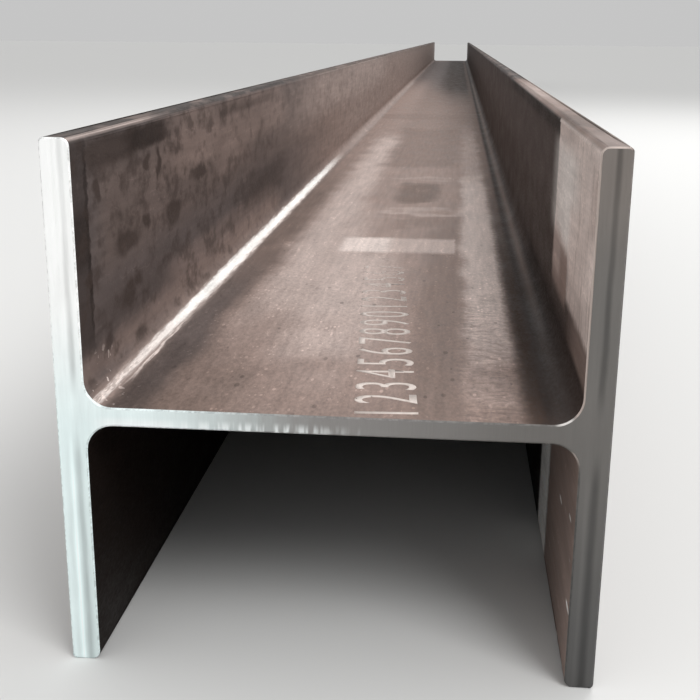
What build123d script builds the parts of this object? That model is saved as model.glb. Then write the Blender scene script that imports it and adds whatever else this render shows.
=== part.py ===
"""A hot-rolled steel H-beam: a 203 x 203 x 46 universal column, one stock length.

Millimetres, +Z up. The beam lies on the toes of its two flanges with its web level:
X goes across the flanges, Y along the beam, and Z = 0 is the floor that the toes
stand on. The origin is under the middle of the beam.
"""
import os

from build123d import *

# The rolled section
section_depth = 203.2       # over the outer faces of the two flanges
flange_width = 203.6        # from toe to toe of one flange
flange_thickness = 11.0
web_thickness = 7.2
root_radius = 10.2          # where the web runs into a flange
toe_inner_radius = 3.0      # edge of a flange tip, on the side of the web
toe_outer_radius = 1.8      # edge of a flange tip, on the outer side

# The stock length, from sawn end to sawn end
beam_length = 6000.0

half_depth = section_depth / 2
half_width = flange_width / 2
flange_centre = half_depth - flange_thickness / 2

# The near sawn end, with its centre at half the height of the flanges
near_end = Plane(
    origin=(0, -beam_length / 2, half_width), x_dir=(-1, 0, 0), z_dir=(0, 1, 0)
)

# One rolled piece: the web and both flanges leave the mill together, with round
# roots, eased toes and nothing added, and are sawn square at both ends.
with BuildPart() as h_beam:
    with BuildSketch(near_end) as section:
        Rectangle(section_depth, web_thickness)
        with Locations((-flange_centre, 0), (flange_centre, 0)):
            Rectangle(flange_thickness, flange_width)

        roots = section.vertices().filter_by_position(
            Axis.Y, -web_thickness, web_thickness
        )
        fillet(roots, root_radius)

        toes = section.vertices().filter_by(lambda v: abs(v.Y) > half_width - 0.01)
        inner_toes = toes.filter_by_position(
            Axis.X, -half_depth + 0.01, half_depth - 0.01
        )
        fillet(inner_toes, toe_inner_radius)

        outer_toes = section.vertices().filter_by(
            lambda v: abs(v.Y) > half_width - 0.01 and abs(v.X) > half_depth - 0.01
        )
        fillet(outer_toes, toe_outer_radius)
    extrude(amount=beam_length)

h_beam.part.label = "h_beam"

os.makedirs("parts", exist_ok=True)
export_step(h_beam.part, "parts/h_beam.step")
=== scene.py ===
"""The looks of a hot-rolled steel H-beam, lying on the toes of its flanges with its web level."""
import math

import bmesh
import bpy
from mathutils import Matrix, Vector


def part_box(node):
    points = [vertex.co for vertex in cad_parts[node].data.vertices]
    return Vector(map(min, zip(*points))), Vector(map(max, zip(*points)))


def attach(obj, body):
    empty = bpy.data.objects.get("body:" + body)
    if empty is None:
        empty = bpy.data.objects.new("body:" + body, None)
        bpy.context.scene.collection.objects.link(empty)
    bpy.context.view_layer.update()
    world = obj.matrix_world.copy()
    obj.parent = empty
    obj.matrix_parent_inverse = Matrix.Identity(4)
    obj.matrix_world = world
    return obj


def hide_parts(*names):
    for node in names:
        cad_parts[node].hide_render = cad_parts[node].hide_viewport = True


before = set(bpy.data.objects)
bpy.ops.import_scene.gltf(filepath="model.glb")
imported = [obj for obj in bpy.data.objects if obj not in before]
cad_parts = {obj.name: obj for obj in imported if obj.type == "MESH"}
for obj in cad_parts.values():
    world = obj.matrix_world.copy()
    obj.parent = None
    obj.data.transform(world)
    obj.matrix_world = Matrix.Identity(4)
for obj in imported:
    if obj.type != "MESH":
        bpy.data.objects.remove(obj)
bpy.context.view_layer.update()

# The camera stands close before the near sawn end, a little above the upper toes and to
# the right of the middle, and looks down the beam. Its lens and its turn are those of the
# photograph, as far as square pixels allow.
near_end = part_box("h_beam")[0].y
camera_distance = 0.3739
camera_side = 0.0425
camera_height = 0.2383
camera_lens_mm = 56.57
camera_turn_degrees = (74.025, -0.452, 5.443)

bpy.ops.object.camera_add(
    location=(camera_side, near_end - camera_distance, camera_height),
    rotation=[math.radians(turn) for turn in camera_turn_degrees],
)
camera = bpy.context.object
camera.name = "camera"
camera.data.lens = camera_lens_mm
camera.data.clip_start = 0.01
bpy.context.scene.camera = camera


# The beam is one piece of steel, rolled hot from a bloom: web and flanges leave the rolls
# together, with round roots and eased toes, and a saw cuts them square at both ends. It is
# modelled from a slab as deep as the web, whose two edges are drawn up and down.
low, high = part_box("h_beam")
depth, length, width = high - low
middle = width / 2
web_thickness = 0.0072
flange_thickness = 0.011
root_radius = 0.0102
toe_inner_radius = 0.003
toe_outer_radius = 0.0018
inner_face = depth / 2 - flange_thickness
root_segments = 12
toe_segments = 5
nearly = 0.0001

bpy.ops.object.select_all(action="DESELECT")
bpy.ops.mesh.primitive_cube_add(
    size=1, location=(0, 0, middle), scale=(depth, length, web_thickness)
)
beam = bpy.context.object
beam.name = "rolled_beam"
bpy.ops.object.transform_apply(location=True, rotation=False, scale=True)
bpy.ops.object.mode_set(mode="EDIT")


def select_faces(test):
    """Selects the faces whose middle and normal pass the test, and nothing else."""
    bpy.ops.mesh.select_mode(type="FACE")
    bpy.ops.mesh.select_all(action="DESELECT")
    mesh = bmesh.from_edit_mesh(bpy.context.object.data)
    for face in mesh.faces:
        face.select_set(bool(test(face.calc_center_median(), face.normal)))
    bmesh.update_edit_mesh(bpy.context.object.data)


def select_edges(test):
    """Selects the edges whose two ends pass the test, and nothing else."""
    bpy.ops.mesh.select_mode(type="EDGE")
    bpy.ops.mesh.select_all(action="DESELECT")
    mesh = bmesh.from_edit_mesh(bpy.context.object.data)
    for edge in mesh.edges:
        edge.select_set(bool(test(edge.verts[0].co, edge.verts[1].co)))
    bmesh.update_edit_mesh(bpy.context.object.data)


def cut(place, normal):
    """Cuts a line of edges all round the piece where a plane meets it."""
    bpy.ops.mesh.select_all(action="SELECT")
    bpy.ops.mesh.bisect(plane_co=place, plane_no=normal)


for side in (-1, 1):
    cut((side * inner_face, 0, 0), (1, 0, 0))
for way in (-1, 1):
    select_faces(lambda at, normal: normal.z * way > 0.9 and abs(at.x) > inner_face)
    rise = way * (width - web_thickness) / 2
    bpy.ops.mesh.extrude_region_move(TRANSFORM_OT_translate={"value": (0, 0, rise)})

bpy.ops.mesh.select_all(action="SELECT")
bpy.ops.mesh.dissolve_limited(angle_limit=math.radians(1))


def runs_along(start, end):
    """True for an edge from one end of the beam to the other."""
    return abs(start.y - end.y) > length / 2


select_edges(
    lambda start, end: runs_along(start, end)
    and abs(abs(start.x) - inner_face) < nearly
    and abs(start.z - middle) < web_thickness
)
bpy.ops.mesh.bevel(offset=root_radius, segments=root_segments, affect="EDGES")
for radius, side in ((toe_inner_radius, inner_face), (toe_outer_radius, depth / 2)):
    select_edges(
        lambda start, end: runs_along(start, end)
        and abs(abs(start.x) - side) < nearly
        and abs(start.z - middle) > middle - nearly
    )
    bpy.ops.mesh.bevel(offset=radius, segments=toe_segments, affect="EDGES")

# The saw leaves a narrow broken edge all round each end, and a strip inside it takes the
# bend of the shading, so that the cut stays flat.
broken_edge = 0.0006
strip_inside_it = 0.0004
select_edges(
    lambda start, end: abs(abs(start.y) - length / 2) < nearly
    and abs(abs(end.y) - length / 2) < nearly
)
bpy.ops.mesh.bevel(offset=broken_edge, segments=3, affect="EDGES")
select_faces(lambda at, normal: abs(normal.y) > 0.99)
bpy.ops.mesh.inset(thickness=strip_inside_it)

# Lines beside each round keep the shading of the flats flat, and lines across and along
# the beam let the rolled faces wander a little, as they do in the rolls.
beside_a_round = 0.0015
root_ends = inner_face - root_radius - beside_a_round
web_line = 0.028
outer_web_line = 0.055
for side in (-root_ends, -outer_web_line, -web_line, 0, web_line, outer_web_line, root_ends):
    cut((side, 0, 0), (1, 0, 0))
root_top = web_thickness / 2 + root_radius + beside_a_round
flange_lines = (0.04, 0.063, 0.085)
below_the_toe = middle - toe_inner_radius - beside_a_round
for way in (-1, 1):
    for from_middle in (root_top, *flange_lines, below_the_toe):
        cut((0, 0, middle + way * from_middle), (0, 0, 1))
rings_near_an_end = (0.003, 0.01, 0.02, 0.04, 0.07)
ring_spacing = 0.1
for from_end in rings_near_an_end:
    cut((0, -length / 2 + from_end, 0), (0, 1, 0))
    cut((0, length / 2 - from_end, 0), (0, 1, 0))
for step in range(1, round(length / ring_spacing)):
    cut((0, -length / 2 + step * ring_spacing, 0), (0, 1, 0))

# The broken edge is cut fine all round, to take its small chips. The faces are held true at
# the saw cuts, and wander freely from a short way in.
free_to_wander = 0.04
select_edges(
    lambda start, end: min(abs(start.y), abs(end.y)) > length / 2 - 0.002
    and (start - end).length > 0.004
    and abs(start.y - end.y) < nearly
)
bpy.ops.mesh.subdivide(number_cuts=15)
bpy.ops.object.mode_set(mode="OBJECT")

away_from_the_saw = beam.vertex_groups.new(name="away_from_the_saw")
at_the_broken_edge = beam.vertex_groups.new(name="at_the_broken_edge")
for vertex in beam.data.vertices:
    inside = length / 2 - abs(vertex.co.y)
    share = min(max(inside / free_to_wander, 0), 1)
    away_from_the_saw.add([vertex.index], share, "REPLACE")
    if nearly / 2 < inside < broken_edge * 0.9:
        at_the_broken_edge.add([vertex.index], 1, "REPLACE")


def sink(piece, name, lump, amount, group_name):
    """Lets the faces of a vertex group sink by up to about that amount, in lumps of a size."""
    texture = bpy.data.textures.new(name, "CLOUDS")
    texture.noise_scale = lump
    bpy.ops.object.modifier_add(type="DISPLACE")
    modifier = piece.modifiers[-1]
    modifier.texture = texture
    modifier.strength = amount
    modifier.mid_level = 1
    modifier.vertex_group = group_name
    bpy.ops.object.modifier_apply(modifier=modifier.name)


# The cuts stay true and flat, and nothing leaves the beam's box. The vertex groups are called
# by name, because applying a modifier puts new ones in their place.
on_the_cuts = {
    vertex.index for vertex in beam.data.vertices if length / 2 - abs(vertex.co.y) < nearly / 2
}
wander_lump = 0.16
wander_depth = 0.0005
chip_lump = 0.0035
chip_depth = 0.0004
sink(beam, "rolling_wander", wander_lump, wander_depth, "away_from_the_saw")
sink(beam, "chips", chip_lump, chip_depth, "at_the_broken_edge")
for vertex in beam.data.vertices:
    vertex.co.x = min(max(vertex.co.x, low.x), high.x)
    vertex.co.z = min(max(vertex.co.z, low.z), high.z)
    if vertex.index in on_the_cuts:
        vertex.co.y = math.copysign(length / 2, vertex.co.y)
bpy.ops.object.shade_smooth_by_angle(angle=math.radians(35))

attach(beam, "root")
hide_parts("h_beam")


# Hot-rolled steel comes out of the mill under its own scale, brown-grey and blotched, with
# fine lanes along the beam. Where things slide over it, it is rubbed pale. Painted highlights,
# sheen, pools of light and painted shade lie in its colour too.
# Places in the materials are in millimetres from the middle of the near sawn end.
def srgb(red, green, blue):
    """A colour as the shader takes it, from the 0 to 255 numbers that a screen shows."""
    parts = [value / 255 for value in (red, green, blue)]
    return [p / 12.92 if p <= 0.04045 else ((p + 0.055) / 1.055) ** 2.4 for p in parts] + [1]


def put(tree, kind, inputs=None, **settings):
    """Adds a node with its settings, and with its inputs as values or as sockets to join."""
    made = tree.nodes.new(kind)
    for name, value in settings.items():
        setattr(made, name, value)
    for name, value in (inputs or {}).items():
        if isinstance(value, bpy.types.NodeSocket):
            tree.links.new(value, made.inputs[name])
        else:
            made.inputs[name].default_value = value
    return made


def maths(tree, operation, first, second=0.0, third=0.0):
    """Arithmetic on up to three numbers."""
    made = put(tree, "ShaderNodeMath", {0: first, 1: second, 2: third}, operation=operation)
    return made.outputs[0]


def arrow(tree, operation, first, second=(0.0, 0.0, 0.0)):
    """Arithmetic on two places, sizes or shifts."""
    made = put(tree, "ShaderNodeVectorMath", {0: first, 1: second}, operation=operation)
    return made.outputs[0]


def distance(tree, value, middle_value):
    """How far a number is from a middle one."""
    return maths(tree, "ABSOLUTE", maths(tree, "SUBTRACT", value, middle_value))


def ramp(tree, value, start, end, low=0.0, high=1.0):
    """The value's way from start to end, drawn smoothly over low to high."""
    inputs = {"Value": value, "From Min": start, "From Max": end, "To Min": low, "To Max": high}
    made = put(tree, "ShaderNodeMapRange", inputs, interpolation_type="SMOOTHSTEP")
    return made.outputs["Result"]


def noise(tree, place, lump, detail=2.0, roughness=0.5):
    """Noise from 0 to 1, in lumps of about that many millimetres."""
    inputs = {"Vector": place, "Scale": 1 / lump, "Detail": detail, "Roughness": roughness}
    return put(tree, "ShaderNodeTexNoise", inputs).outputs["Fac"]


def blend(tree, share, first, second):
    """One colour over another, by a share from 0 to 1."""
    made = put(tree, "ShaderNodeMix", {0: share, 6: first, 7: second}, data_type="RGBA")
    return made.outputs[2]


def brighten(tree, colour, value):
    """The colour at a multiple of its brightness."""
    made = put(tree, "ShaderNodeHueSaturation", {"Value": value, "Color": colour})
    return made.outputs[0]


def new_group(name, inputs, outputs):
    """An empty node group: its nodes, its inputs as outputs, and its outputs as inputs."""
    tree = bpy.data.node_groups.new(name, "ShaderNodeTree")
    for socket, kind in inputs.items():
        tree.interface.new_socket(socket, in_out="INPUT", socket_type="NodeSocket" + kind)
    for socket, kind in outputs.items():
        tree.interface.new_socket(socket, in_out="OUTPUT", socket_type="NodeSocket" + kind)
    given = tree.nodes.new("NodeGroupInput").outputs
    result = tree.nodes.new("NodeGroupOutput").inputs
    return tree, given, result


# A soft patch is a soft-edged box of places, and a round spot is a soft-edged ball of them.
patch_group, given, result = new_group(
    "soft_patch",
    {"Place": "Vector", "Centre": "Vector", "Half size": "Vector", "Softness": "Vector",
     "Strength": "Vector"},
    {"Mask": "Float"},
)
outside = arrow(patch_group, "SUBTRACT", given["Place"], given["Centre"])
outside = arrow(patch_group, "ABSOLUTE", outside)
bare_from = arrow(patch_group, "ADD", given["Half size"], given["Softness"])
full_from = arrow(patch_group, "SUBTRACT", given["Half size"], given["Softness"])
share = put(
    patch_group, "ShaderNodeMapRange",
    {6: outside, 7: bare_from, 8: full_from, 10: given["Strength"]},
    data_type="FLOAT_VECTOR", interpolation_type="SMOOTHSTEP",
).outputs["Vector"]
parts = put(patch_group, "ShaderNodeSeparateXYZ", {0: share}).outputs
share = maths(patch_group, "MULTIPLY", parts[0], parts[1])
patch_group.links.new(maths(patch_group, "MULTIPLY", share, parts[2]), result["Mask"])

spot_group, given, result = new_group(
    "round_spot",
    {"Place": "Vector", "Centre": "Vector", "Half size": "Vector", "Softness": "Float"},
    {"Mask": "Float"},
)
outside = arrow(spot_group, "SUBTRACT", given["Place"], given["Centre"])
outside = arrow(spot_group, "DIVIDE", outside, given["Half size"])
reach = put(spot_group, "ShaderNodeVectorMath", {0: outside}, operation="LENGTH").outputs["Value"]
start = maths(spot_group, "ADD", 1.0, given["Softness"])
end = maths(spot_group, "SUBTRACT", 1.0, given["Softness"])
spot_group.links.new(ramp(spot_group, reach, start, end), result["Mask"])

# Torn places give a patch a ragged edge: each place is shifted a little, at random.
torn_group, given, result = new_group(
    "torn_places", {"Place": "Vector", "Lump": "Vector", "Reach": "Vector"}, {"Place": "Vector"}
)
inputs = {"Vector": arrow(torn_group, "DIVIDE", given["Place"], given["Lump"]), "Scale": 1.0}
shift = put(torn_group, "ShaderNodeTexNoise", inputs).outputs["Color"]
shift = arrow(torn_group, "SUBTRACT", shift, (0.5, 0.5, 0.5))
shift = arrow(torn_group, "MULTIPLY", shift, given["Reach"])
torn_group.links.new(arrow(torn_group, "ADD", given["Place"], shift), result["Place"])


def torn(tree, place, lump, reach):
    """The places of a surface, torn in lumps of that many millimetres each way."""
    inputs = {"Place": place, "Lump": lump, "Reach": reach}
    return put(tree, "ShaderNodeGroup", inputs, node_tree=torn_group).outputs["Place"]


def patch(tree, place, centre, half_size, softness, strength=1.0):
    """A soft-edged box of places, from 0 outside to its strength inside."""
    inputs = {"Place": place, "Centre": centre, "Half size": half_size, "Softness": softness}
    inputs["Strength"] = (strength, 1.0, 1.0)
    return put(tree, "ShaderNodeGroup", inputs, node_tree=patch_group).outputs["Mask"]


def spot(tree, place, centre, half_size, softness):
    """A soft-edged round spot, from 0 outside to 1 inside."""
    inputs = {"Place": place, "Centre": centre, "Half size": half_size, "Softness": softness}
    return put(tree, "ShaderNodeGroup", inputs, node_tree=spot_group).outputs["Mask"]


# Flakes are scattered grains of many sizes.
flake_group, given, result = new_group(
    "flakes", {"Place": "Vector", "Spacing": "Float", "Largest": "Float"}, {"Mask": "Float"}
)
per_mm = maths(flake_group, "DIVIDE", 1.0, given["Spacing"])
inputs = {"Vector": given["Place"], "Scale": per_mm}
cells = put(flake_group, "ShaderNodeTexVoronoi", inputs).outputs
size = put(flake_group, "ShaderNodeSeparateColor", {0: cells["Color"]}).outputs[0]
size = maths(flake_group, "MULTIPLY", maths(flake_group, "POWER", size, 3.0), given["Largest"])
inside = ramp(flake_group, maths(flake_group, "SUBTRACT", size, cells["Distance"]), -0.04, 0.06)
flake_group.links.new(inside, result["Mask"])


def flakes(tree, place, spacing, largest):
    """Scattered grains, from 0 outside to 1 inside."""
    inputs = {"Place": place, "Spacing": spacing, "Largest": largest}
    return put(tree, "ShaderNodeGroup", inputs, node_tree=flake_group).outputs["Mask"]


# Mill scale, laid over any tone: mottling, lanes along the beam, grain, pale specks where it
# has flaked, dark pits, and scratches.
scale_group, given, result = new_group(
    "mill_scale",
    {"Place": "Vector", "Bent place": "Vector", "Tone": "Color", "Mottling": "Float",
     "Grain": "Float", "Specks": "Float", "Scratches": "Float"},
    {"Colour": "Color", "Roughness": "Float", "Height": "Float"},
)
along = arrow(scale_group, "MULTIPLY", given["Place"], (1.0, 0.07, 1.0))
drawn_out = arrow(scale_group, "MULTIPLY", given["Place"], (1.0, 0.4, 1.0))
mottle = noise(scale_group, drawn_out, 16, 3, 0.6)
lanes = noise(scale_group, along, 3.2, 1, 0.6)
grain = noise(scale_group, drawn_out, 1.3, 2, 0.65)
change = maths(scale_group, "SUBTRACT", grain, 0.5)
change = maths(scale_group, "MULTIPLY", change, given["Grain"])
lumps = maths(scale_group, "SUBTRACT", mottle, 0.5)
lumps = maths(scale_group, "MULTIPLY", lumps, given["Mottling"])
change = maths(scale_group, "ADD", change, lumps)
change = maths(scale_group, "MULTIPLY_ADD", maths(scale_group, "SUBTRACT", lanes, 0.5), 0.4, change)
colour = brighten(scale_group, given["Tone"], maths(scale_group, "ADD", change, 1.0))
paler = brighten(scale_group, colour, 1.45)
darker = brighten(scale_group, colour, 0.6)

swarm = ramp(scale_group, mottle, 0.42, 0.58)
pale_flecks = maths(scale_group, "MULTIPLY", flakes(scale_group, drawn_out, 1.9, 0.42), swarm)
pale_flecks = maths(scale_group, "MULTIPLY", pale_flecks, given["Specks"])
colour = blend(scale_group, pale_flecks, colour, paler)
elsewhere = arrow(scale_group, "ADD", drawn_out, (370.0, 110.0, 50.0))
swarm = ramp(scale_group, mottle, 0.52, 0.4)
pitted = maths(scale_group, "MULTIPLY", flakes(scale_group, elsewhere, 3.4, 0.34), swarm)
pitted = maths(scale_group, "MULTIPLY", pitted, given["Specks"])
colour = blend(scale_group, pitted, colour, darker)

lines = arrow(scale_group, "DIVIDE", given["Bent place"], (22.0, 60.0, 22.0))
lines = distance(scale_group, noise(scale_group, lines, 1, 0), 0.5)
scratched = ramp(scale_group, lines, 0.008, 0.002)
scratched = maths(scale_group, "MULTIPLY", scratched, given["Scratches"])
scratched = maths(scale_group, "MULTIPLY", scratched, ramp(scale_group, lanes, 0.5, 0.62))
colour = blend(scale_group, scratched, colour, paler)

rough = maths(scale_group, "MULTIPLY_ADD", mottle, 0.5, maths(scale_group, "MULTIPLY", grain, 0.5))
rough = ramp(scale_group, rough, 0.3, 0.7, 0.44, 0.66)
height = maths(scale_group, "MULTIPLY_ADD", mottle, 0.8, maths(scale_group, "MULTIPLY", grain, 0.5))
scale_group.links.new(colour, result["Colour"])
scale_group.links.new(rough, result["Roughness"])
scale_group.links.new(height, result["Height"])


def new_material(name, metallic, piece):
    """A material on a piece: its nodes, its shader, and its places from the near end."""
    made = bpy.data.materials.new(name)
    made.use_nodes = True
    tree = made.node_tree
    shader = tree.nodes["Principled BSDF"]
    shader.inputs["Metallic"].default_value = metallic
    place = tree.nodes.new("ShaderNodeTexCoord").outputs["Object"]
    place = arrow(tree, "ADD", place, (0.0, length / 2, -middle))
    place = arrow(tree, "MULTIPLY", place, (1000.0, 1000.0, 1000.0))
    piece.data.materials.append(made)
    return tree, shader, place


def finish_material(tree, shader, colour, roughness, height, relief):
    """Joins a material's colour, roughness and relief, in metres, to its shader."""
    tree.links.new(colour, shader.inputs["Base Color"])
    tree.links.new(roughness, shader.inputs["Roughness"])
    bump = put(tree, "ShaderNodeBump", {"Height": height, "Distance": relief, "Strength": 1.0})
    tree.links.new(bump.outputs[0], shader.inputs["Normal"])


# The tones of the scale and of the light and shade painted on it, from palest to darkest.
white = srgb(250, 247, 243)
bright = srgb(224, 209, 202)
pale_tone = srgb(188, 171, 164)
pale_brown = srgb(148, 129, 121)
brown = srgb(116, 99, 91)
plain = srgb(92, 83, 81)
dull = srgb(66, 58, 55)
dark = srgb(60, 50, 46)
shade_umber = srgb(46, 30, 20)
black = srgb(26, 19, 16)

scale_metallic = 0.12
scale_gloss = 0.07
scale_relief = 0.00018
skin, shader, place = new_material("mill_scale", scale_metallic, beam)
shader.inputs["Specular IOR Level"].default_value = scale_gloss
parts = put(skin, "ShaderNodeSeparateXYZ", {0: place}).outputs
finely_torn = torn(skin, place, (3.0, 5.0, 3.0), (3.0, 6.0, 3.0))
torn_in_lumps = torn(skin, place, (12.0, 16.0, 12.0), (9.0, 20.0, 9.0))
widely_torn = torn(skin, finely_torn, (60.0, 60.0, 60.0), (16.0, 160.0, 16.0))
torn_along = torn(skin, place, (1.3, 17.0, 1.3), (3.0, 0.0, 3.0))
far_end = length * 1000
outer = depth * 500
inner = inner_face * 1000
toe = middle * 1000
surface = web_thickness * 500
root = root_radius * 1000
all_across = (-outer, outer)
all_up = (-toe, toe)


def lay(tone, colour, mask):
    """Lays a colour over the tone that the skin has so far, where the mask is."""
    return blend(skin, mask, tone, colour)


def stroke(place, across, from_end, up, softness, strength=1.0):
    """A patch given by its reach across, from the end and up."""
    reach = (across, from_end, up)
    centre = [(start + end) / 2 for start, end in reach]
    half_size = [(end - start) / 2 for start, end in reach]
    return patch(skin, place, centre, half_size, softness, strength)


# The middle of the web is pale in long lanes, partly rubbed and partly a painted sheen; its sides
# by the roots and its far part are darkened with painted shade.
# Each stroke is a colour, its reach across and from the end, its softness and its strength.
web = pale_brown
for colour, across, from_end, softness, strength in (
    (pale_tone, (-30, 8), (85, 330), (14, 60), 0.85),
    (pale_tone, (-60, -32), (180, 1150), (12, 110), 0.95),
    (pale_tone, (-34, -16), (120, 470), (12, 90), 0.7),
    (pale_tone, (50, 72), (70, 720), (5, 60), 0.95),
    (bright, (50, 72), (170, 680), (5, 90), 0.3),
    (pale_tone, (52, 70), (600, 1350), (5, 200), 0.4),
    (brown, (26, 47), (-50, 470), (5, 60), 0.55),
    (brown, (26, 47), (20, 80), (6, 20), 0.25),
    (brown, (-78, -38), (-50, 60), (13, 50), 0.8),
    (brown, (-90, 90), (-50, 28), (20, 25), 0.4),
    (brown, (-6, 30), (545, 655), (7, 16), 1),
    (pale_brown, (-6, 34), (380, 470), (7, 20), 0.8),
    (brown, (0, 34), (398, 462), (6, 12), 0.45),
    (pale_tone, (-16, 62), (472, 492), (6, 8), 0.45),
    (pale_tone, (-16, 40), (690, 715), (6, 10), 0.25),
    (brown, (-34, 46), (790, 1300), (11, 30), 0.55),
    (brown, (-90, 90), (1490, 1620), (9, 14), 0.3),
    (brown, (-36, 90), (1250, far_end), (16, 200), 0.45),
    (brown, (20, 90), (1250, far_end), (20, 300), 0.5),
    (brown, (-34, 90), (1900, far_end), (26, 400), 0.6),
    (plain, (-30, 90), (2500, far_end), (26, 400), 0.6),
    (plain, (-90, 90), (2900, far_end), (20, 600), 0.8),
    (dark, (10, 90), (2200, far_end), (26, 600), 0.95),
    (shade_umber, (0, 90), (2600, far_end), (26, 500), 0.95),
    (brown, (-90, -64), (-50, 760), (7, 220), 0.85),
    (plain, (-90, -67), (-50, 260), (6, 130), 0.8),
    (dark, (-90, -68), (-50, 60), (5, 40), 0.5),
    (brown, (70, 90), (600, far_end), (5, 300), 0.6),
):
    mask = stroke(widely_torn, across, from_end, all_up, softness + (1,), strength)
    web = lay(web, colour, mask)
# Painted shade lies along the web's right side, beside the root.
web = lay(web, shade_umber, stroke(finely_torn, (71, 90), (-50, 640), all_up, (3.5, 360, 1), 0.8))
web = lay(web, shade_umber, stroke(finely_torn, (72, 90), (-50, 300), all_up, (4, 180, 1), 0.95))

# Rust has raised short ripples across the web's right side, near the cut.
ripples = noise(skin, arrow(skin, "MULTIPLY", torn_in_lumps, (0.25, 1.0, 1.0)), 2.8, 2, 0.65)
rippled = stroke(widely_torn, (48, 70), (-30, 210), all_up, (6, 50, 1))
ripples = maths(skin, "MULTIPLY", maths(skin, "SUBTRACT", ripples, 0.5), rippled)
web = brighten(skin, web, maths(skin, "MULTIPLY_ADD", ripples, 1.4, 1.0))

# A pale bar lies across the web, brighter in its left half.
bar = (318, 368)
web = lay(web, pale_tone, stroke(finely_torn, (-29.5, 44.5), bar, all_up, (1.2, 6, 1), 0.8))
web = lay(web, bright, stroke(finely_torn, (-29.5, 1.5), bar, all_up, (4, 6, 1), 0.85))

# The left flange's inner face has a dark strip beside the cut and dark scale along the toe,
# and grows paler along the beam. Each stroke gives its reach from the end and up.
bare = blend(skin, noise(skin, widely_torn, 90, 2), plain, brown)
left = plain
for colour, from_end, up, softness, strength in (
    (brown, (30, far_end), (48, 90), (14, 10), 0.35),
    (pale_brown, (130, 490), (70, 103), (40, 6), 0.55),
    (pale_brown, (230, 340), (58, 72), (40, 6), 0.4),
    (pale_brown, (130, 450), (8, 32), (25, 5), 0.4),
    (pale_brown, (60, 470), (7, 21), (40, 5), 0.55),
    (dark, (-20, 130), (20, 40), (30, 6), 0.25),
    (pale_brown, (-20, 75), (10, 20), (20, 4), 0.5),
    (pale_brown, (620, far_end), all_up, (260, 20), 0.95),
    (pale_tone, (560, 1700), (62, 130), (260, 14), 0.55),
    (pale_tone, (950, far_end), (18, 130), (200, 8), 0.3),
    (dark, (300, 480), (26, 46), (50, 8), 0.6),
    (dark, (20, 84), (87, 99), (7, 3.2), 0.8),
    (dark, (72, 130), (89, 99), (7, 1), 0.8),
    (black, (70, 140), (90, 97.5), (14, 1), 0.5),
    (dark, (250, 430), (91, 96), (16, 2), 0.4),
    (black, (-20, 17), (22, 110), (1.2, 5), 0.5),
    (black, (-20, 17), (54, 74), (1.2, 4), 0.6),
    (black, (13.5, 17), (30, 96), (1, 5), 0.5),
    (black, (14, 18), (43, 49), (1.2, 2.2), 0.9),
):
    torn_place = finely_torn if min(softness) < 3 else torn_in_lumps
    mask = stroke(torn_place, all_across, from_end, up, (1,) + softness, strength)
    left = lay(left, colour, mask)

# Blotches lie on it, and soft smudges between them, denser near the cut.
blotched = 0.0
for from_end, up, half_long, half_high in (
    (27, 80, 4, 5.5), (99, 82, 5, 4), (118, 81, 4, 8), (66, 54, 18, 6), (92, 58, 8, 3.5),
    (14, 48, 4, 3.5), (62, 32, 10, 7), (77, 36, 7, 4), (197, 67, 20, 4), (140, 55, 18, 6),
):
    blotch = spot(skin, torn_in_lumps, (-inner, from_end, up), (4, half_long, half_high), 0.35)
    blotched = maths(skin, "MAXIMUM", blotched, blotch)
smudges = noise(skin, arrow(skin, "MULTIPLY", place, (1.0, 0.5, 0.8)), 8, 3, 0.6)
smudges = ramp(skin, smudges, 0.45, 0.68)
smudges = maths(skin, "MULTIPLY", smudges, ramp(skin, parts["Y"], 620, 90, 0.2, 0.65))
blotched = maths(skin, "MULTIPLY", blotched, 0.85)
left = lay(left, dark, maths(skin, "MAXIMUM", blotched, smudges))

# The right flange's inner face has a painted pool of light up to 150 mm from the cut, with a sharp
# painted shadow edge, and is painted dark in shade beyond.
right = dark
for colour, from_end, up, softness, strength in (
    (plain, (150, far_end), (55, 92), (12, 12), 0.35),
    (black, (150, 650), (93, 103), (4, 2), 0.7),
    (bright, (-30, 153), (44, 110), (2, 6), 0.9),
    (white, (70, 160), (50, 90), (30, 6), 0.6),
    (pale_brown, (-30, 20), (56, 92), (8, 8), 0.35),
    (bright, (-30, 86), (30, 70), (9, 3), 0.75),
    (pale_brown, (86, 153), (26, 48), (6, 4), 0.9),
    (pale_tone, (118, 153), (32, 52), (8, 5), 0.7),
    (pale_brown, (-30, 60), (14, 30), (30, 4), 0.6),
    (black, (84, 220), (-1, 17), (22, 6), 0.6),
):
    mask = stroke(finely_torn, all_across, from_end, up, (1,) + softness, strength)
    right = lay(right, colour, mask)
streaks = noise(skin, arrow(skin, "MULTIPLY", place, (1.0, 1.0, 0.2)), 5, 3, 0.6)
streaks = ramp(skin, streaks, 0.5, 0.68)
streaks = maths(skin, "MULTIPLY", streaks, ramp(skin, parts["Y"], 150, 20, 0.0, 0.35))
right = lay(right, brown, streaks)

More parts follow.
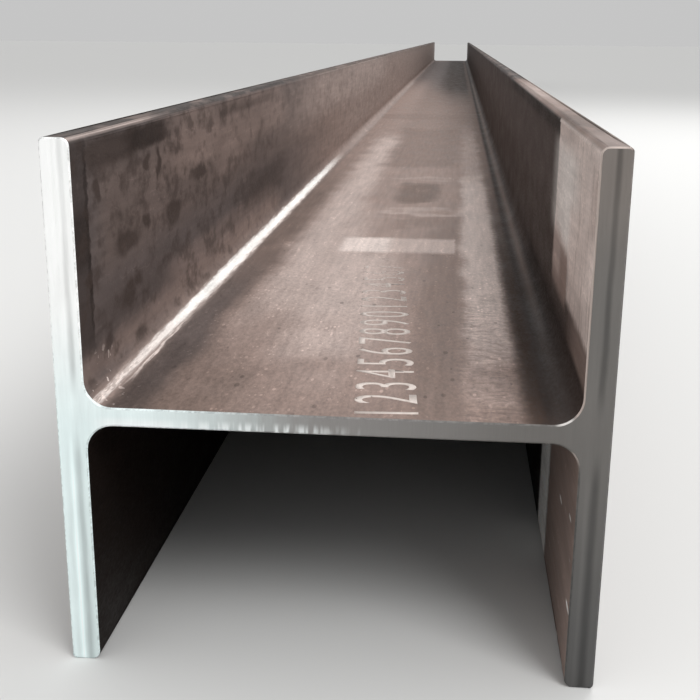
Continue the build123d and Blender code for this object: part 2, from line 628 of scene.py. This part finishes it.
# The upper toes are dull and paler in places, the right one more,
# and the left one has a painted highlight along its inner edge.
toes = dull
toes = lay(toes, brown, stroke(place, (0, 200), (-50, 620), all_up, (1, 40, 1)))
toes = lay(toes, pale_tone, stroke(place, (0, 200), (-50, 60), all_up, (1, 20, 1), 0.4))
toes = lay(toes, pale_brown, stroke(place, (0, 200), (180, 580), all_up, (1, 60, 1)))
toes = lay(toes, bright, stroke(place, (0, 200), (300, 500), all_up, (1, 60, 1), 0.35))
toes = lay(toes, brown, stroke(place, (-200, 0), (560, far_end), all_up, (1, 90, 1), 0.6))
rubs = arrow(skin, "MULTIPLY", place, (1.0, 0.25, 1.0))
rubs = ramp(skin, noise(skin, rubs, 9, 2), 0.47, 0.65, 0.0, 0.4)
toes = lay(toes, pale_brown, rubs)
# A painted highlight along the left toe's inner edge.
toe_highlight_line = stroke(place, (-inner - 1.9, -inner - 0.4), (-40, 110), all_up, (0.6, 50, 1), 0.75)
toes = lay(toes, pale_tone, toe_highlight_line)

# Each face takes its own tone. Below the web, everything is painted black as shade, but the right
# flange's inner face is lighter near the cut, and a strip across it is painted white as a pool of
# light.
over_web = patch(skin, place, (0, 0, surface), (inner - root + 2, far_end, 3), (4, 1, 2))
over_left = patch(skin, place, (-inner, 0, surface + toe), (4, far_end, toe), (3, 1, 4))
over_right = patch(skin, place, (inner, 0, 0), (4, far_end, toe + 9), (3, 1, 2))
shade_under_web = patch(skin, place, (0, 0, -toe), (inner + 1, far_end, toe + 1), (0.6, 1, 2))
over_toes = patch(skin, place, (0, 0, toe), (outer + 9, far_end, 1.6), (1, 1, 0.8))
tone = lay(bare, right, over_right)
tone = lay(tone, left, over_left)
tone = lay(tone, web, over_web)
tone = lay(tone, black, shade_under_web)
low_right = patch(skin, finely_torn, (inner, 50, -60), (7, 58, 56), (1.5, 5, 2))
tone = lay(tone, pale_brown, low_right)
lit_strip_below_web = patch(skin, finely_torn, (inner, 128, -60), (7, 21, 56), (1.5, 5, 2))
tone = lay(tone, white, lit_strip_below_web)
tone = lay(tone, toes, over_toes)

# The left root carries a painted highlight over its first metre, partly rubbed bright, in fibres,
# broken into bright flecks near the cut.
# The right one is painted dark as shade, with a thin painted highlight line.
to_the_arc = root * (1 - math.sqrt(0.5))
root_across = inner - to_the_arc
root_up = surface + to_the_arc


def along_root(place, side):
    """The places about an upper root's middle line, turned so that Z points out of its arc."""
    inputs = {
        "Vector": place,
        "Center": (side * root_across, 0, root_up),
        "Angle": math.radians(side * 45),
    }
    turned = put(skin, "ShaderNodeVectorRotate", inputs, rotation_type="Y_AXIS").outputs[0]
    return arrow(skin, "SUBTRACT", turned, (side * root_across, 0, root_up))


right_root = along_root(place, 1)
# Painted shade darkens the right root, and a painted highlight line runs along it.
tone = lay(tone, dark, patch(skin, right_root, (0, far_end / 2, 0), (9, far_end, 5), (2, 1, 2)))
tone = lay(tone, black, patch(skin, right_root, (1, 200, 0), (8, 130, 5), (3, 70, 2), 0.7))
highlight_line = patch(skin, right_root, (-3.2, 1550, 0), (1.8, 1350, 5), (2.2, 200, 2), 0.65)
tone = lay(tone, brown, highlight_line)

left_root = along_root(torn_along, -1)
faded = patch(skin, left_root, (1.0, 560, 0), (3.4, 620, 5), (2.4, 120, 2), 0.7)
tone = lay(tone, pale_brown, faded)
paler = patch(skin, left_root, (0, 2000, 0), (6, 1000, 9), (3, 250, 2), 0.4)
tone = lay(tone, pale_tone, paler)
highlight_glow = patch(skin, left_root, (2.2, 420, 0), (2.6, 270, 5), (1.6, 160, 2), 0.9)
tone = lay(tone, bright, highlight_glow)
second_highlight_line = patch(skin, left_root, (4.7, 85, 0), (0.45, 45, 5), (0.4, 25, 2), 0.9)
tone = lay(tone, bright, second_highlight_line)
narrowed = ramp(skin, parts["Y"], 10, 260, 1.0, 0.62)
narrowed = put(skin, "ShaderNodeCombineXYZ", {"X": narrowed, "Y": 1.0, "Z": 1.0}).outputs[0]
from_the_highlight = arrow(skin, "SUBTRACT", left_root, (1.8, 0.0, 0.0))
from_the_highlight = arrow(skin, "MULTIPLY", from_the_highlight, narrowed)
rub_and_highlight = patch(skin, from_the_highlight, (-0.1, 370, 0), (1.4, 410, 5), (0.8, 150, 2))
fibres = arrow(skin, "DIVIDE", torn_along, (1.0, 9.0, 1.0))
fibres = ramp(skin, noise(skin, fibres, 1.0), 0.36, 0.56)
kept = maths(skin, "MAXIMUM", fibres, ramp(skin, parts["Y"], -20, 130, 0.3, 1.0))
rub_and_highlight = maths(skin, "MULTIPLY", rub_and_highlight, kept)
tone = lay(tone, lay(bright, white, ramp(skin, parts["Y"], 20, 200, 0.2, 1.0)), rub_and_highlight)
# Near the cut the left root's painted highlight breaks into bright flecks.
pale_flecks = patch(skin, finely_torn, (-inner + 5, 14, surface + 8), (7, 20, 7), (4, 12, 4), 0.85)
pale_flecks = maths(skin, "MULTIPLY", pale_flecks, flakes(skin, finely_torn, 2.6, 0.5))
tone = lay(tone, bright, pale_flecks)

# A few bright nicks lie on the right flange's inner face, below the web.
nicked = arrow(skin, "MULTIPLY", place, (1.0, 0.2, 1.0))
nicked = maths(skin, "MULTIPLY", flakes(skin, nicked, 7.0, 0.17), low_right)
tone = lay(tone, white, nicked)

# The scale is laid over all the tones, with more grain and specks on the web near the cut.
near_web = maths(skin, "MULTIPLY", over_web, ramp(skin, parts["Y"], 420, 120))
grain = maths(skin, "MULTIPLY_ADD", near_web, 0.45, 0.5)
specks = maths(skin, "MULTIPLY_ADD", near_web, 0.6, 0.35)
inputs = {
    "Place": place,
    "Bent place": torn_in_lumps,
    "Tone": tone,
    "Mottling": 0.45,
    "Grain": grain,
    "Specks": specks,
    "Scratches": 0.5,
}
scale = put(skin, "ShaderNodeGroup", inputs, node_tree=scale_group).outputs
rough = maths(skin, "MULTIPLY_ADD", rub_and_highlight, -0.12, scale["Roughness"])
finish_material(skin, shader, scale["Colour"], rough, scale["Height"], scale_relief)


# The saw cuts the ends bright: bare steel with fine upright lines, painted white at the left and
# grey to the right as a painted reflection of light from the left, and a faint groove down each
# flange where the saw's two passes meet, with lighter and darker bands beside it lower down.
sawn_metallic = 0.35
sawn_relief = 0.0001
between_the_grooves = 1.3
groove_from_there = 95.5
bands = ((-96.8, 1.1, 0.14), (-98.9, 1.3, -0.07), (93.9, 1.0, 0.1))

sawn_group, given, result = new_group(
    "sawn_face", {"Place": "Vector"}, {"Colour": "Color", "Roughness": "Float", "Height": "Float"}
)
upright = arrow(sawn_group, "MULTIPLY", given["Place"], (1.0, 1.0, 0.06))
lines = noise(sawn_group, upright, 1.3, 4, 0.65)
upright = arrow(sawn_group, "MULTIPLY", given["Place"], (1.0, 1.0, 0.15))
broad_lines = maths(sawn_group, "SUBTRACT", noise(sawn_group, upright, 5, 3, 0.55), 0.5)
clouds = maths(sawn_group, "SUBTRACT", noise(sawn_group, given["Place"], 30, 3), 0.5)
parts = put(sawn_group, "ShaderNodeSeparateXYZ", {0: given["Place"]}).outputs
across = maths(sawn_group, "MULTIPLY_ADD", broad_lines, 26.0, parts["X"])
up = ramp(sawn_group, parts["Z"], -10, 50)
lit_left_tone = blend(sawn_group, up, srgb(232, 246, 246), srgb(254, 255, 254))
right_tone = ramp(sawn_group, parts["Z"], -90, 10)
right_tone = blend(sawn_group, right_tone, srgb(86, 85, 84), srgb(105, 102, 99))
at_the_toe = ramp(sawn_group, parts["Z"], 50, 95)
right_tone = blend(sawn_group, at_the_toe, right_tone, srgb(120, 113, 108))
tone = blend(sawn_group, ramp(sawn_group, across, -76, 0), lit_left_tone, srgb(139, 136, 134))
tone = blend(sawn_group, ramp(sawn_group, across, -14, 84), tone, right_tone)

# Along the lower side of the web, bright streaks over the left half are painted highlights on the
# saw's burrs.
streaks = ramp(sawn_group, noise(sawn_group, upright, 4, 2, 0.6), 0.44, 0.57)
streaks = maths(sawn_group, "MULTIPLY", streaks, ramp(sawn_group, across, 16, -16, 0.0, 0.65))
streaks = maths(sawn_group, "MAXIMUM", streaks, ramp(sawn_group, across, -42, -68, 0.0, 0.85))
streaks = maths(sawn_group, "MULTIPLY", streaks, ramp(sawn_group, parts["Z"], 1, -2.6))
from_middle = maths(sawn_group, "ABSOLUTE", parts["X"])
streaks = maths(sawn_group, "MULTIPLY", streaks, ramp(sawn_group, from_middle, 90, 80))
tone = blend(sawn_group, streaks, tone, srgb(250, 255, 255))

# The groove wanders a little, and grows wider and deeper downwards.
groove = distance(sawn_group, parts["X"], between_the_grooves)
groove = maths(sawn_group, "MULTIPLY_ADD", clouds, 1.2, groove)
groove = distance(sawn_group, groove, groove_from_there)
groove = ramp(sawn_group, groove, ramp(sawn_group, parts["Z"], 80, -60, 1.6, 2.5), 0.2)
off_the_web = ramp(sawn_group, maths(sawn_group, "ABSOLUTE", parts["Z"]), 4, 20)
groove = maths(sawn_group, "MULTIPLY", groove, off_the_web)
change = maths(sawn_group, "MULTIPLY", maths(sawn_group, "SUBTRACT", lines, 0.5), 0.2)
change = maths(sawn_group, "MULTIPLY_ADD", broad_lines, 0.25, change)
change = maths(sawn_group, "MULTIPLY_ADD", clouds, 0.15, change)
deeper = ramp(sawn_group, parts["Z"], 100, 0, -0.13, -0.28)
deeper = ramp(sawn_group, parts["X"], -1, 1, deeper, -0.4)
change = maths(sawn_group, "MULTIPLY_ADD", groove, deeper, change)
low_down = ramp(sawn_group, parts["Z"], 0, -30)
for line, half_wide, lighter in bands:
    band = ramp(sawn_group, distance(sawn_group, parts["X"], line), half_wide, 0.1)
    band = maths(sawn_group, "MULTIPLY", band, low_down)
    change = maths(sawn_group, "MULTIPLY_ADD", band, lighter, change)
# Right of the left flange's middle, the cut is darkened a little, more downwards: painted shade.
painted_shade_right_low = maths(
    sawn_group, "MULTIPLY",
    ramp(sawn_group, parts["X"], -96, -93.5), ramp(sawn_group, parts["Z"], 90, -90, 0.02, 0.1),
)
change = maths(sawn_group, "SUBTRACT", change, painted_shade_right_low)
colour = brighten(sawn_group, tone, maths(sawn_group, "ADD", change, 1.0))
sawn_group.links.new(colour, result["Colour"])
sawn_group.links.new(ramp(sawn_group, lines, 0.3, 0.7, 0.34, 0.5), result["Roughness"])
sawn_group.links.new(maths(sawn_group, "MULTIPLY_ADD", groove, -0.8, lines), result["Height"])

sawn, shader, place = new_material("sawn_steel", sawn_metallic, beam)
face = put(sawn, "ShaderNodeGroup", {"Place": place}, node_tree=sawn_group).outputs
finish_material(sawn, shader, face["Colour"], face["Roughness"], face["Height"], sawn_relief)

# The broken edge round the cut looks like the cut beside it, a little nicked, with a warm
# painted highlight on the right flange's inner side and its upper tip, and a painted glint
# on a small burr at the right root.
warm_highlight_tone = srgb(204, 188, 180)
bead_glint_tone = srgb(226, 221, 217)
edge, shader, place = new_material("broken_edge", sawn_metallic, beam)
face = put(edge, "ShaderNodeGroup", {"Place": place}, node_tree=sawn_group).outputs
nicks = noise(edge, place, 2.2, 3, 0.65)
colour = brighten(edge, face["Colour"], ramp(edge, nicks, 0.35, 0.65, 0.8, 1.15))
edge_highlight = patch(edge, place, (inner, 0, 50), (2.5, 5, 60), (1, 1, 4))
tip_highlight = patch(edge, place, (96, 0, 102), (8, 5, 1.2), (1, 1, 0.6))
edge_highlight = maths(edge, "MAXIMUM", edge_highlight, tip_highlight)
colour = blend(edge, maths(edge, "MULTIPLY", edge_highlight, 0.8), colour, warm_highlight_tone)
bead_glint = spot(edge, place, (84.5, 0, 5.2), (3.2, 5, 2.2), 0.5)
colour = blend(edge, bead_glint, colour, bead_glint_tone)
finish_material(edge, shader, colour, face["Roughness"], nicks, sawn_relief)

# The cuts take the second material, and the broken edges round them the third.
bpy.ops.object.select_all(action="DESELECT")
bpy.context.view_layer.objects.active = beam
bpy.ops.object.mode_set(mode="EDIT")
select_faces(lambda at, normal: abs(at.y) > length / 2 - broken_edge * 1.2)
beam.active_material_index = 2
bpy.ops.object.material_slot_assign()
select_faces(lambda at, normal: abs(normal.y) > 0.99 and abs(at.y) > length / 2 - nearly)
beam.active_material_index = 1
bpy.ops.object.material_slot_assign()
bpy.ops.object.mode_set(mode="OBJECT")


# Plain numbers are stencilled on the web in a thin coat of pale paint. They run away from
# the cut with their tops to the left, drift a little to the left, and wear away.
number_height = 0.0245
number_width_share = 0.75
number_spacing = 1.26
number_start = (0.033, near_end + 0.001)
number_turn_degrees = 94
digit_height_of_the_font = 0.7
thinner_strokes = -0.0002
curve_steps = 6
merge_distance = 0.00001
paint_thickness = 0.00008
paint_relief = 0.00005

bpy.ops.object.select_all(action="DESELECT")
bpy.ops.object.text_add(
    location=(*number_start, middle + web_thickness / 2),
    rotation=(0, 0, math.radians(number_turn_degrees)),
)
written = bpy.context.object
written.data.body = "12345678901234567"
written.data.size = number_height / digit_height_of_the_font
written.data.offset = thinner_strokes
written.data.space_character = number_spacing
written.data.resolution_u = curve_steps
written.scale.x = number_width_share
bpy.ops.object.convert(target="MESH")
numbers = bpy.context.object
numbers.name = "stencilled_numbers"
bpy.ops.object.transform_apply(location=True, rotation=True, scale=True)

# The paint is cut where the web's facets meet, and laid on them.
bpy.ops.object.mode_set(mode="EDIT")
bpy.ops.mesh.select_all(action="SELECT")
bpy.ops.mesh.remove_doubles(threshold=merge_distance)
cut((0, 0, 0), (1, 0, 0))
cut((web_line, 0, 0), (1, 0, 0))
for from_end in (*rings_near_an_end, ring_spacing, 2 * ring_spacing):
    cut((0, near_end + from_end, 0), (0, 1, 0))
bpy.ops.object.mode_set(mode="OBJECT")
bpy.ops.object.modifier_add(type="SHRINKWRAP")
wrap = numbers.modifiers[-1]
wrap.target = beam
wrap.wrap_mode = "ABOVE_SURFACE"
wrap.offset = paint_thickness
bpy.ops.object.modifier_apply(modifier=wrap.name)
bpy.ops.object.modifier_add(type="SOLIDIFY")
coat = numbers.modifiers[-1]
coat.thickness = paint_thickness * 1.6
bpy.ops.object.modifier_apply(modifier=coat.name)

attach(numbers, "root")

paint, shader, place = new_material("stencil_paint", 0.0, numbers)
parts = put(paint, "ShaderNodeSeparateXYZ", {0: place}).outputs
wear = noise(paint, arrow(paint, "MULTIPLY", place, (1.0, 0.6, 1.0)), 2.0, 3, 0.65)
paint_left = maths(paint, "ADD", wear, ramp(paint, parts["Y"], 120, 310, 0.22, 0.02))
paint_left = ramp(paint, paint_left, 0.46, 0.56)
fading = ramp(paint, parts["Y"], 60, 310, 0.95, 0.55)
paint_left = maths(paint, "MULTIPLY", paint_left, fading)
paint.links.new(paint_left, shader.inputs["Alpha"])
colour = blend(paint, wear, srgb(196, 180, 171), srgb(238, 228, 221))
rough = ramp(paint, wear, 0.3, 0.7, 0.5, 0.7)
finish_material(paint, shader, colour, rough, wear, paint_relief)


# The floor is a plain pale one under a soft sky, brighter overhead than at the horizon,
# with a large lamp before the near end and another over the first metres of the beam.
floor_size = 60
floor_colour = (0.72, 0.72, 0.71, 1)
floor_roughness = 0.9
sky_at_the_horizon = 0.56
sky_overhead = 0.8

bpy.ops.object.select_all(action="DESELECT")
bpy.ops.mesh.primitive_plane_add(size=floor_size, location=(0, 0, 0))
floor = bpy.context.object
floor.name = "studio_floor"
floor_paint = bpy.data.materials.new("studio_floor")
floor_paint.use_nodes = True
floor_shader = floor_paint.node_tree.nodes["Principled BSDF"].inputs
floor_shader["Base Color"].default_value = floor_colour
floor_shader["Roughness"].default_value = floor_roughness
floor.data.materials.append(floor_paint)

world = bpy.data.worlds.new("studio")
world.use_nodes = True
sky = world.node_tree
background = sky.nodes["Background"].inputs
background["Color"].default_value = (1, 1, 1, 1)
direction = sky.nodes.new("ShaderNodeTexCoord").outputs["Generated"]
upward = put(sky, "ShaderNodeSeparateXYZ", {0: direction}).outputs["Z"]
strength = ramp(sky, upward, 0.0, 0.5, sky_at_the_horizon, sky_overhead)
sky.links.new(strength, background["Strength"])
bpy.context.scene.world = world


def lamp(name, place, aim, size, power):
    """A soft square lamp that points at a place on the beam."""
    bpy.ops.object.light_add(type="AREA", location=place)
    made = bpy.context.object
    made.name = name
    made.data.size = size
    made.data.energy = power
    made.rotation_euler = (Vector(aim) - Vector(place)).to_track_quat("-Z", "Y").to_euler()


lamp("key_lamp", (1.2, near_end - 1.3, 1.9), (0, near_end, 0.1), size=1.2, power=30)
lamp("back_lamp", (0.9, near_end + 2.5, 2.3), (0, near_end + 0.6, 0.1), size=1.5, power=40)

bpy.context.scene.view_settings.view_transform = "Standard"
